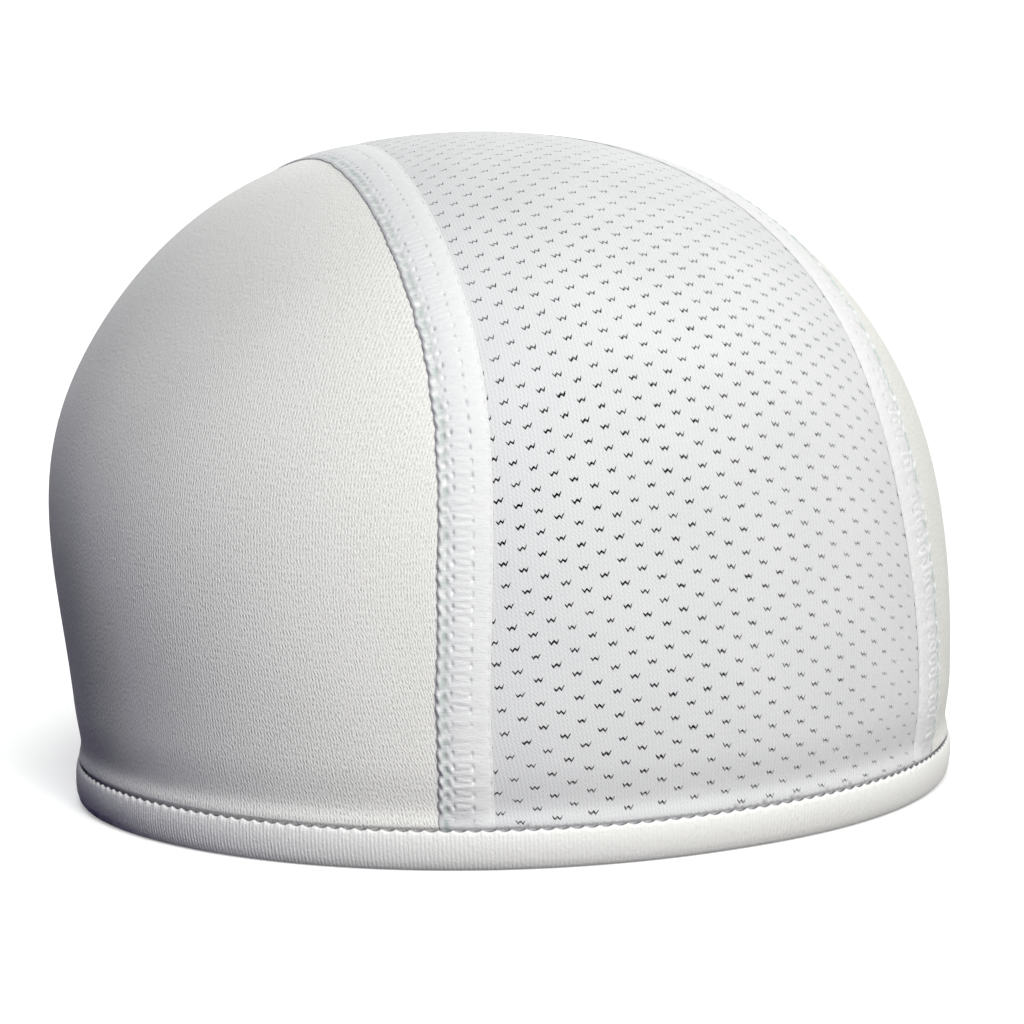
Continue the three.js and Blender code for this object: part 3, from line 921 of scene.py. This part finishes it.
def hem_band():
    outer_face = CLEARANCE + HEM_PLY
    inner_face = -WALL - CLEARANCE - HEM_PLY
    turns = np.linspace(math.pi, 3 * math.pi, 1441)  # the band's ends meet at the nape
    bearing = np.stack([np.sin(turns), -np.cos(turns), 0 * turns], -1)
    start = np.array([0.0, WIDEST_BEHIND, HEM_HEIGHT / 2])
    arc = arc_of(crown_along(start, bearing))
    ribs = int(round(arc[-1] / RIB_PITCH))
    stitches = int(round(arc[-1] / STITCH))
    around = ribs * 4
    at = np.linspace(0, arc[-1], around + 1)[:-1]
    turn = np.interp(at, arc, turns)
    bearing = np.stack([np.sin(turn), -np.cos(turn), 0 * turn], -1)

    # Section of the band: distance out from the crown, height, and share of the ribs' height
    section = np.array([
        (CLEARANCE, HEM_HEIGHT - 0.9, 0), (CLEARANCE + 0.25, HEM_HEIGHT - 0.15, 0.3),
        (outer_face - 0.35, HEM_HEIGHT, 0.4), (outer_face - 0.08, HEM_HEIGHT - 0.35, 0.7),
        (outer_face + 0.12, HEM_HEIGHT - 1.2, 1), (outer_face + 0.3, HEM_HEIGHT - 2.6, 1),
        (outer_face + 0.35, HEM_HEIGHT / 2, 1), (outer_face + 0.2, 2.2, 1),
        (outer_face - 0.1, 0.9, 1), (outer_face - 0.6, 0.2, 0.8), (outer_face - 1.2, 0, 0.2),
        (inner_face + 1.0, 0, 0.2), (inner_face + 0.3, 0.3, 0.6), (inner_face, 1.0, 0.8),
        (inner_face, HEM_HEIGHT - 0.8, 0.6), (inner_face + 0.3, HEM_HEIGHT, 0.3),
        (inner_face + 0.8, HEM_HEIGHT - 0.3, 0), (inner_face + HEM_PLY, HEM_PLY + 0.1, 0),
        (CLEARANCE, HEM_PLY + 0.1, 0),
    ])
    rib = np.cos(at / arc[-1] * ribs * 2 * math.pi)
    scallop = np.abs(np.cos(at / arc[-1] * stitches * math.pi))
    rings = []
    for out, up, ribbed in section:
        level = np.array([0.0, WIDEST_BEHIND, up])
        foot = crown_along(level, bearing)
        sideways = outward(foot)
        sideways[:, 2] = 0
        ring = foot + unit(sideways) * (out + RIB_HEIGHT * ribbed * rib)[:, None]
        if up > HEM_HEIGHT - 1 and out > 0:
            ring[:, 2] -= SCALLOP * scallop
        rings.append(ring)
    points = np.stack(rings, 1)
    steps = np.linalg.norm(np.diff(section[:, :2], axis=0), axis=1)
    path, round_path = np.meshgrid(np.concatenate([[0], np.cumsum(steps)]), at)
    cloth = np.stack([round_path, path, 0 * path], -1)
    faces = tube_faces(around, len(section), closed=True, flip=True)
    piece = make_mesh("folded_hem_band", points.reshape(-1, 3), faces, cloth.reshape(-1, 3))
    dress(piece, HEM_FABRIC, "hem_band")


# Floor, lights and camera


def floor_material(name, glow):
    material = bpy.data.materials.new(name)
    material.use_nodes = True
    shader = material.node_tree.nodes["Principled BSDF"]
    shader.inputs["Base Color"].default_value = (0.96, 0.96, 0.96, 1)
    shader.inputs["Roughness"].default_value = 1.0
    shader.inputs["Specular IOR Level"].default_value = 0.0
    shader.inputs["Emission Color"].default_value = (1, 1, 1, 1)
    shader.inputs["Emission Strength"].default_value = glow
    return material


def stage():
    """A glowing floor with a plain round in it, and a backdrop as bright.

    The round keeps light from coming up through the eyelets. Behind the cap it is wider than the
    hem and shows.
    """
    turn = np.linspace(0, 2 * math.pi, FLOOR_CORNERS + 1)[:-1]
    ring = np.stack([np.cos(turn), np.sin(turn), 0 * turn], -1)
    points = np.concatenate([ring * COVERED_FLOOR, ring * FLOOR_RADIUS])
    k = np.arange(FLOOR_CORNERS)
    ahead = (k + 1) % FLOOR_CORNERS
    outside = np.stack([k, k + FLOOR_CORNERS, ahead + FLOOR_CORNERS, ahead], -1)
    faces = [k.tolist()] + outside.tolist()
    mesh = bpy.data.meshes.new("floor")
    mesh.from_pydata(points.tolist(), [], faces)
    mesh.materials.append(floor_material("covered_floor", 0.0))
    mesh.materials.append(floor_material("floor", FLOOR_GLOW))
    mesh.polygons.foreach_set("material_index", np.minimum(np.arange(len(faces)), 1))
    floor = bpy.data.objects.new("floor", mesh)
    bpy.context.scene.collection.objects.link(floor)
    floor.visible_diffuse = False
    world = bpy.data.worlds.new("studio")
    world.use_nodes = True
    world.node_tree.nodes["Background"].inputs["Color"].default_value = (0.9, 0.9, 0.9, 1)
    world.cycles_visibility.diffuse = False
    world.cycles_visibility.glossy = False
    bpy.context.scene.world = world
    bpy.context.scene.view_settings.view_transform = "Standard"


def facing(azimuth, elevation):
    """Axes to the right, up and back of a thing that faces the cap, from its angles in degrees."""
    a = math.radians(azimuth)
    e = math.radians(elevation)
    back = np.array([math.sin(a) * math.cos(e), -math.cos(a) * math.cos(e), math.sin(e)])
    right = np.array([math.cos(a), math.sin(a), 0.0])
    return right, np.cross(back, right), back


def place_object(thing, right, up, back, seat):
    rows = [(*axes, p) for axes, p in zip(np.stack([right, up, back], 1), seat)]
    thing.matrix_world = Matrix(rows + [(0, 0, 0, 1)])
    bpy.context.scene.collection.objects.link(thing)


def sun(name, azimuth, elevation, softness, strength, colour):
    """A broad soft lamp far away, at an azimuth round from the forehead and an elevation."""
    data = bpy.data.lights.new(name, "SUN")
    data.angle = math.radians(softness)
    data.energy = strength
    data.color = colour
    right, up, back = facing(azimuth, elevation)
    place_object(bpy.data.objects.new(name, data), right, up, back, back * 2)


def camera():
    right, up, back = facing(CAMERA_AZIMUTH, CAMERA_ELEVATION)
    roll = math.radians(CAMERA_ROLL)
    target = np.array([0.0, WIDEST_BEHIND, CAMERA_TARGET_Z]) / 1000
    rolled_right = math.cos(roll) * right - math.sin(roll) * up
    rolled_up = math.sin(roll) * right + math.cos(roll) * up
    data = bpy.data.cameras.new("camera")
    data.sensor_width = 36.0
    data.lens = 193.3
    data.shift_x = 0.0277
    data.shift_y = -0.0345
    data.clip_start = 0.1
    data.clip_end = 50.0
    view = bpy.data.objects.new("camera", data)
    place_object(view, rolled_right, rolled_up, back, target + back * CAMERA_DISTANCE)
    bpy.context.scene.camera = view


stage()
camera()
sun("key", -5, 8, 14, 1.72, (1.0, 0.99, 0.98))
sun("front", -4, 40, 20, 0.6, (1.0, 1.0, 1.0))
sun("top", -26, 64, 26, 1.6, (0.98, 1.0, 0.97))
sun("right", 95, 10, 50, 1.05, (1.0, 1.0, 0.97))
sun("back", 155, 20, 30, 1.5, (1.0, 1.0, 1.0))
sun("shade", -110, 0, 90, 0.16, (0.2, 0.12, 1.0))
middle_panel()
side_panel(1, "smooth_side_panel_left", "side_panel_left")
side_panel(-1, "smooth_side_panel_right", "side_panel_right")
seam_band(1, "topstitched_seam_left", "seam_band_left")
seam_band(-1, "topstitched_seam_right", "seam_band_right")
hem_band()
